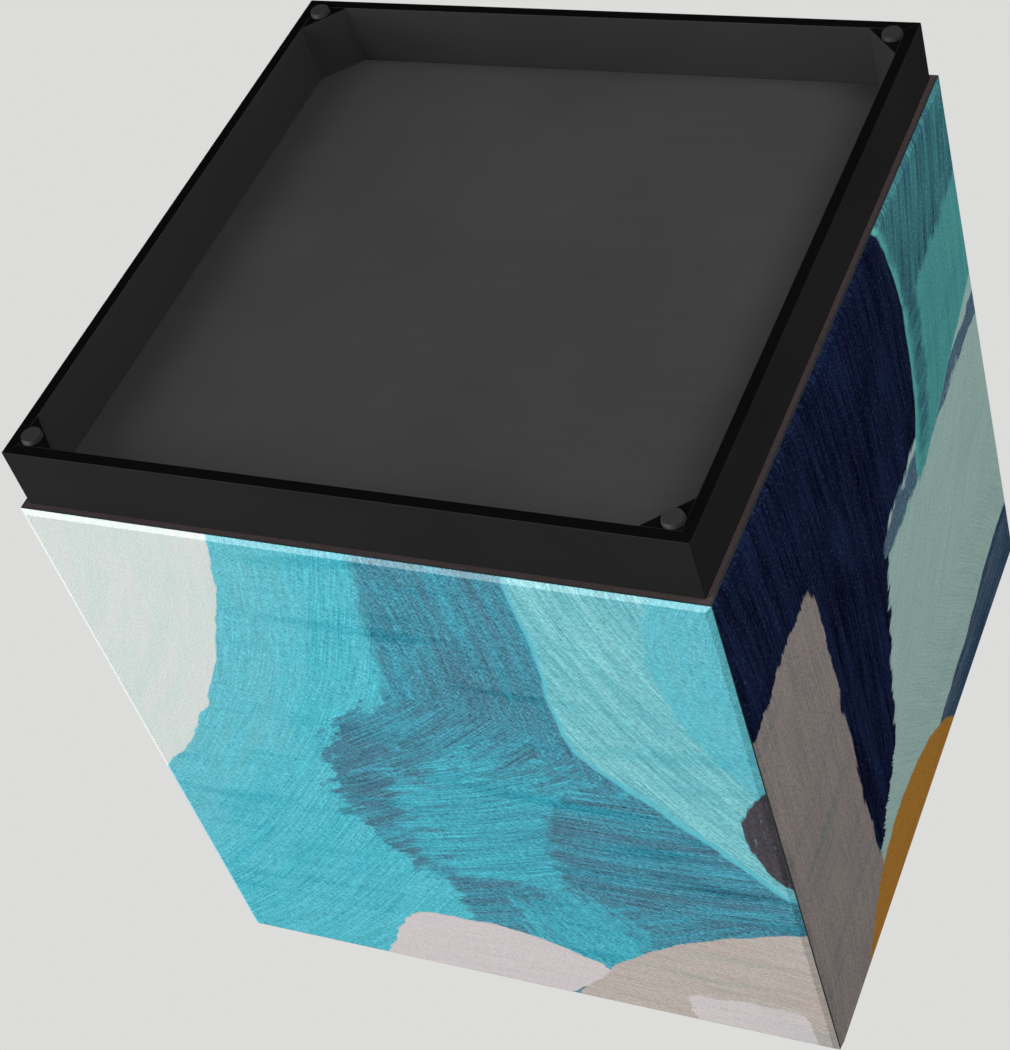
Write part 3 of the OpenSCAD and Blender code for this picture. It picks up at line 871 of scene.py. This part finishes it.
class TABLE_OT_glides(bpy.types.Operator):
    """Models the moulded feet and threaded studs of the levelling glides"""

    bl_idname = "side_table.glides"
    bl_label = "Make the glides"

    def execute(self, context):
        foot = self.make_foot(nylon_material())
        stud = self.make_stud(metal_material("plated_steel", settings().glides.zinc, 0.28))
        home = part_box("front_left_foot")[0]
        moves = [Matrix.Translation(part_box(corner + "_foot")[0] - home) for corner in CORNERS[1:]]
        feet = [foot, *(copy_at(foot, move) for move in moves)]
        studs = [stud, *(copy_at(stud, move) for move in moves)]
        for corner, foot, stud in zip(CORNERS, feet, studs):
            body = corner + "_glide"
            finish_piece(foot, corner + "_moulded_foot", body, corner + "_foot")
            finish_piece(stud, corner + "_threaded_stud", body, corner + "_stud")
        return {"FINISHED"}

    def make_foot(self, nylon):
        """A tapered disc with a rounded rim and a shallow dish underneath."""
        low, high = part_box("front_left_foot")
        centre = (low + high) / 2
        glides = settings().glides
        deselect_all()
        bpy.ops.mesh.primitive_cone_add(
            vertices=64, radius1=glides.face_width / 2, radius2=(high.x - low.x) / 2,
            depth=high.z - low.z, end_fill_type="NGON", location=centre)
        bpy.ops.object.transform_apply(location=True, rotation=True, scale=True)
        piece = bpy.context.object
        round_edges(piece, glides.foot_round, segments=3, angle=40)
        select_where(piece, "polygons", lambda part: part.normal.z < -0.99 and part.area > 1e-5)
        bpy.ops.mesh.inset(thickness=glides.lip)
        bpy.ops.mesh.inset(thickness=glides.dish * 2, depth=-glides.dish)
        object_mode()
        piece.data.materials.append(nylon)
        return piece

    def make_stud(self, steel):
        """A core rod on a round flange, with a helical ridge wound round it by a screw modifier."""
        low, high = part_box("front_left_stud")
        glides = settings().glides
        centre = (low + high) / 2
        major, flange = glides.thread_width / 2, (high.x - low.x) / 2
        flange_top = low.z + glides.flange_thickness
        core = self.make_rod(centre, major - glides.thread_depth, low.z, high.z)
        plate = self.make_rod(centre, flange, low.z, flange_top)
        ridge = self.wind_thread(centre, major, flange_top, high.z)
        deselect_all()
        for part in (plate, ridge, core):
            part.select_set(True)
        bpy.context.view_layer.objects.active = core
        bpy.ops.object.join()
        core.data.materials.append(steel)
        return core

    def make_rod(self, centre, radius, bottom, top):
        """A round bar with its ends chamfered."""
        deselect_all()
        bpy.ops.mesh.primitive_cylinder_add(vertices=48, radius=radius, depth=top - bottom,
                                            location=(centre.x, centre.y, (bottom + top) / 2))
        bpy.ops.object.transform_apply(location=True, rotation=True, scale=True)
        round_edges(bpy.context.object, settings().glides.rod_chamfer, angle=60)
        return bpy.context.object

    def wind_thread(self, centre, major, bottom, top):
        """One closed helical ridge, from a triangle wound up by the pitch on each turn."""
        glides = settings().glides
        pitch = glides.thread_pitch
        turns = int((top - bottom) / pitch) - 2
        deselect_all()
        bpy.ops.mesh.primitive_circle_add(vertices=3, radius=1, fill_type="NOTHING", location=(0, 0, 0))
        piece = bpy.context.object
        root = major - glides.thread_depth - 0.1 * MM
        profile = [(root, 0.06), (major, 0.5), (root, 0.94)]
        for vert, (radius, height) in zip(piece.data.vertices, profile):
            vert.co = (radius, 0, height * pitch)
        wind = piece.modifiers.new("thread", "SCREW")
        wind.axis = "Z"
        wind.screw_offset = pitch
        wind.iterations = turns
        wind.steps = glides.thread_steps
        wind.render_steps = glides.thread_steps
        wind.use_merge_vertices = False
        bpy.ops.object.modifier_apply(modifier=wind.name)
        piece.data.transform(Matrix.Translation((centre.x, centre.y, bottom + pitch / 2)))
        select_where(piece, "vertices", lambda vert: False)
        bpy.ops.mesh.select_non_manifold()
        bpy.ops.mesh.fill_holes(sides=4)
        bpy.ops.mesh.select_all(action="SELECT")
        bpy.ops.mesh.remove_doubles(threshold=1e-7)
        bpy.ops.mesh.normals_make_consistent(inside=False)
        object_mode()
        return piece


class TABLE_OT_carcass(bpy.types.Operator):
    """Finishes the boards, battens, blocks, inserts and screws of the carcass"""

    bl_idname = "side_table.carcass"
    bl_label = "Finish the carcass"

    def execute(self, context):
        timber, glides = settings().timber, settings().glides
        stained = fibreboard_material("stained_edge", timber.stain, 0.72)
        raw = fibreboard_material("raw_fibreboard", timber.fibreboard)
        grey = painted_material("recess_paint", timber.floor_grey, 0.70, 0)
        woods = [softwood_material("softwood_" + "xyz"[axis], timber.softwood, axis) for axis in range(3)]
        brass = metal_material("turned_brass", glides.brass, 0.30)
        screws = metal_material("yellow_zinc", glides.yellow_zinc, 0.35)
        for side in SIDES:
            wood = woods[0] if side in ("front", "back") else woods[1]
            self.dress(side + "_board", stained)
            self.dress(side + "_top_cleat", wood)
            self.dress(side + "_bottom_cleat", wood)
        for corner in CORNERS:
            self.dress(corner + "_post", woods[2])
        self.dress("top_board", raw)
        self.dress("bottom_board", grey)
        self.dress("glide_inserts", brass)
        for name in ("post", "cleat", "top_board", "bottom_board", "plinth"):
            self.dress(name + "_screws", screws)
        return {"FINISHED"}

    def dress(self, node, material):
        """Gives a CAD node its material, without touching its shape."""
        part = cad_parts[node]
        if not part.material_slots:
            part.data.materials.append(material)
        for slot in part.material_slots:
            slot.material = material


# Each softbox: its place, its width and height, its power in watts, and whether the glass mirrors it.
SOFTBOXES = {
    "low_key": ((2.50, -4.10, -0.15), (5.0, 2.2), 163, True),
    "front_fill": ((2.4, -3.0, -3.2), (2.6, 2.6), 112, False),
    "low_fill": ((-1.3, 0.1, -1.6), (1.0, 1.0), 22, False),
    "left_fill": ((-3.4, 2.6, 0.8), (2.4, 2.4), 50, False),
    "right_fill": ((4.0, 0.2, 1.2), (2.4, 2.4), 95, False),
    "edge_light": ((3.23, 0.50, 3.40), (1.8, 1.8), 8, True),
    "back_fill": ((0.2, 4.0, 1.2), (2.4, 2.4), 95, False),
    "overhead": ((0.2, -0.3, 4.2), (2.6, 2.6), 75, False),
}


class TABLE_OT_studio(bpy.types.Operator):
    """Sets up the pale floor, the soft lights and the camera"""

    bl_idname = "side_table.studio"
    bl_label = "Set up the studio"

    def execute(self, context):
        self.make_floor()
        self.make_surroundings()
        self.make_lights()
        self.make_camera()
        context.scene.view_settings.view_transform = "Standard"
        return {"FINISHED"}

    def make_floor(self):
        """A pale floor under the glides, seen only from above, that fades into the backdrop far out."""
        studio = settings().studio
        deselect_all()
        bpy.ops.mesh.primitive_plane_add(size=studio.floor_size, location=(0, 0, 0))
        floor = bpy.context.object
        floor.name = "studio_floor"
        made, tree, shader, place = new_material("floor_paint")
        cloud = noise(tree, place, scale=2.5, detail=3)
        tone = blend(tree, cloud, opaque(studio.floor), opaque(studio.floor_light))
        plug(tree, shader.inputs["Base Color"], tone)
        shader.inputs["Roughness"].default_value = 0.75
        far = remap(tree, vector(tree, "LENGTH", place), studio.haze_start, studio.haze_end)
        haze = add(tree, "Emission", {"Color": opaque(studio.backdrop)}).outputs[0]
        faded = add(tree, "MixShader", {0: far, 1: shader.outputs[0], 2: haze}).outputs[0]
        clear = add(tree, "BsdfTransparent").outputs[0]
        under = add(tree, "NewGeometry").outputs["Backfacing"]
        both = add(tree, "MixShader", {0: under, 1: faded, 2: clear})
        plug(tree, tree.nodes["Material Output"].inputs["Surface"], both.outputs[0])
        floor.data.materials.append(made)
        floor.visible_shadow = False
        floor.visible_diffuse = False
        floor.visible_glossy = False

    def make_surroundings(self):
        """A pale backdrop for the camera and an even soft light that the glass doesn't mirror."""
        world = bpy.data.worlds.new("studio")
        world.use_nodes = True
        bpy.context.scene.world = world
        tree = world.node_tree
        path = add(tree, "LightPath")
        studio = settings().studio
        seen = add(tree, "Background", {"Color": opaque(studio.backdrop), "Strength": 1.0}).outputs[0]
        lit = add(tree, "Background", {"Color": (1, 1, 1, 1), "Strength": studio.ambient}).outputs[0]
        both = add(tree, "MixShader", {0: path.outputs["Is Camera Ray"], 1: lit, 2: seen}).outputs[0]
        plug(tree, tree.nodes["World Output"].inputs["Surface"], both)
        world.cycles_visibility.glossy = False

    def make_lights(self):
        """Softboxes on every side, each aimed at the middle of the table; the glass mirrors only some."""
        low, high = CAD_BOX
        middle = (Vector(low) + Vector(high)) / 2
        for name, (place, size, power, mirrored) in SOFTBOXES.items():
            lamp = bpy.data.lights.new(name, "AREA")
            lamp.shape = "RECTANGLE"
            lamp.size, lamp.size_y = size
            lamp.energy = power
            box = bpy.data.objects.new(name, lamp)
            bpy.context.scene.collection.objects.link(box)
            box.location = place
            box.rotation_euler = (middle - box.location).to_track_quat("-Z", "Y").to_euler()
            box.visible_camera = False
            box.visible_glossy = mirrored

    def make_camera(self):
        """A camera under the table that looks up at its plinth and its front left corner."""
        studio = settings().studio
        camera = bpy.data.cameras.new("camera")
        camera.lens = studio.lens
        camera.shift_x, camera.shift_y = studio.camera_shift
        camera.clip_start = 0.05
        camera.clip_end = 100
        held = bpy.data.objects.new("camera", camera)
        bpy.context.scene.collection.objects.link(held)
        look = Vector(studio.camera_look).normalized()
        across = look.cross(Vector(studio.camera_up)).normalized()
        up = across.cross(look)
        turn = Matrix((across, up, -look)).transposed().to_4x4()
        held.matrix_world = Matrix.Translation(studio.camera_place) @ turn
        bpy.context.scene.camera = held


class SideTableSettings(bpy.types.PropertyGroup):
    """Everything that can be changed on the table and its studio"""

    glass: PointerProperty(type=GlassSettings)
    timber: PointerProperty(type=TimberSettings)
    glides: PointerProperty(type=GlideSettings)
    studio: PointerProperty(type=StudioSettings)


OPERATORS = (
    TABLE_OT_glass_panes, TABLE_OT_plinth, TABLE_OT_corner_blocks, TABLE_OT_glides, TABLE_OT_carcass,
    TABLE_OT_studio,
)


class TABLE_PT_sidebar(bpy.types.Panel):
    """Buttons for each piece of the side table"""

    bl_idname = "TABLE_PT_sidebar"
    bl_label = "Side table"
    bl_space_type = "VIEW_3D"
    bl_region_type = "UI"
    bl_category = "Side table"

    def draw(self, context):
        for operator in OPERATORS:
            self.layout.operator(operator.bl_idname)


CLASSES = (
    GlassSettings, TimberSettings, GlideSettings, StudioSettings, SideTableSettings,
    *OPERATORS, TABLE_PT_sidebar,
)


def register():
    for made in CLASSES:
        bpy.utils.register_class(made)
    bpy.types.Scene.side_table = PointerProperty(type=SideTableSettings)


def unregister():
    del bpy.types.Scene.side_table
    for made in reversed(CLASSES):
        bpy.utils.unregister_class(made)


def main():
    register()
    bpy.ops.side_table.glass_panes()
    bpy.ops.side_table.plinth()
    bpy.ops.side_table.corner_blocks()
    bpy.ops.side_table.glides()
    bpy.ops.side_table.carcass()
    bpy.ops.side_table.studio()


if __name__ == "__main__":
    main()
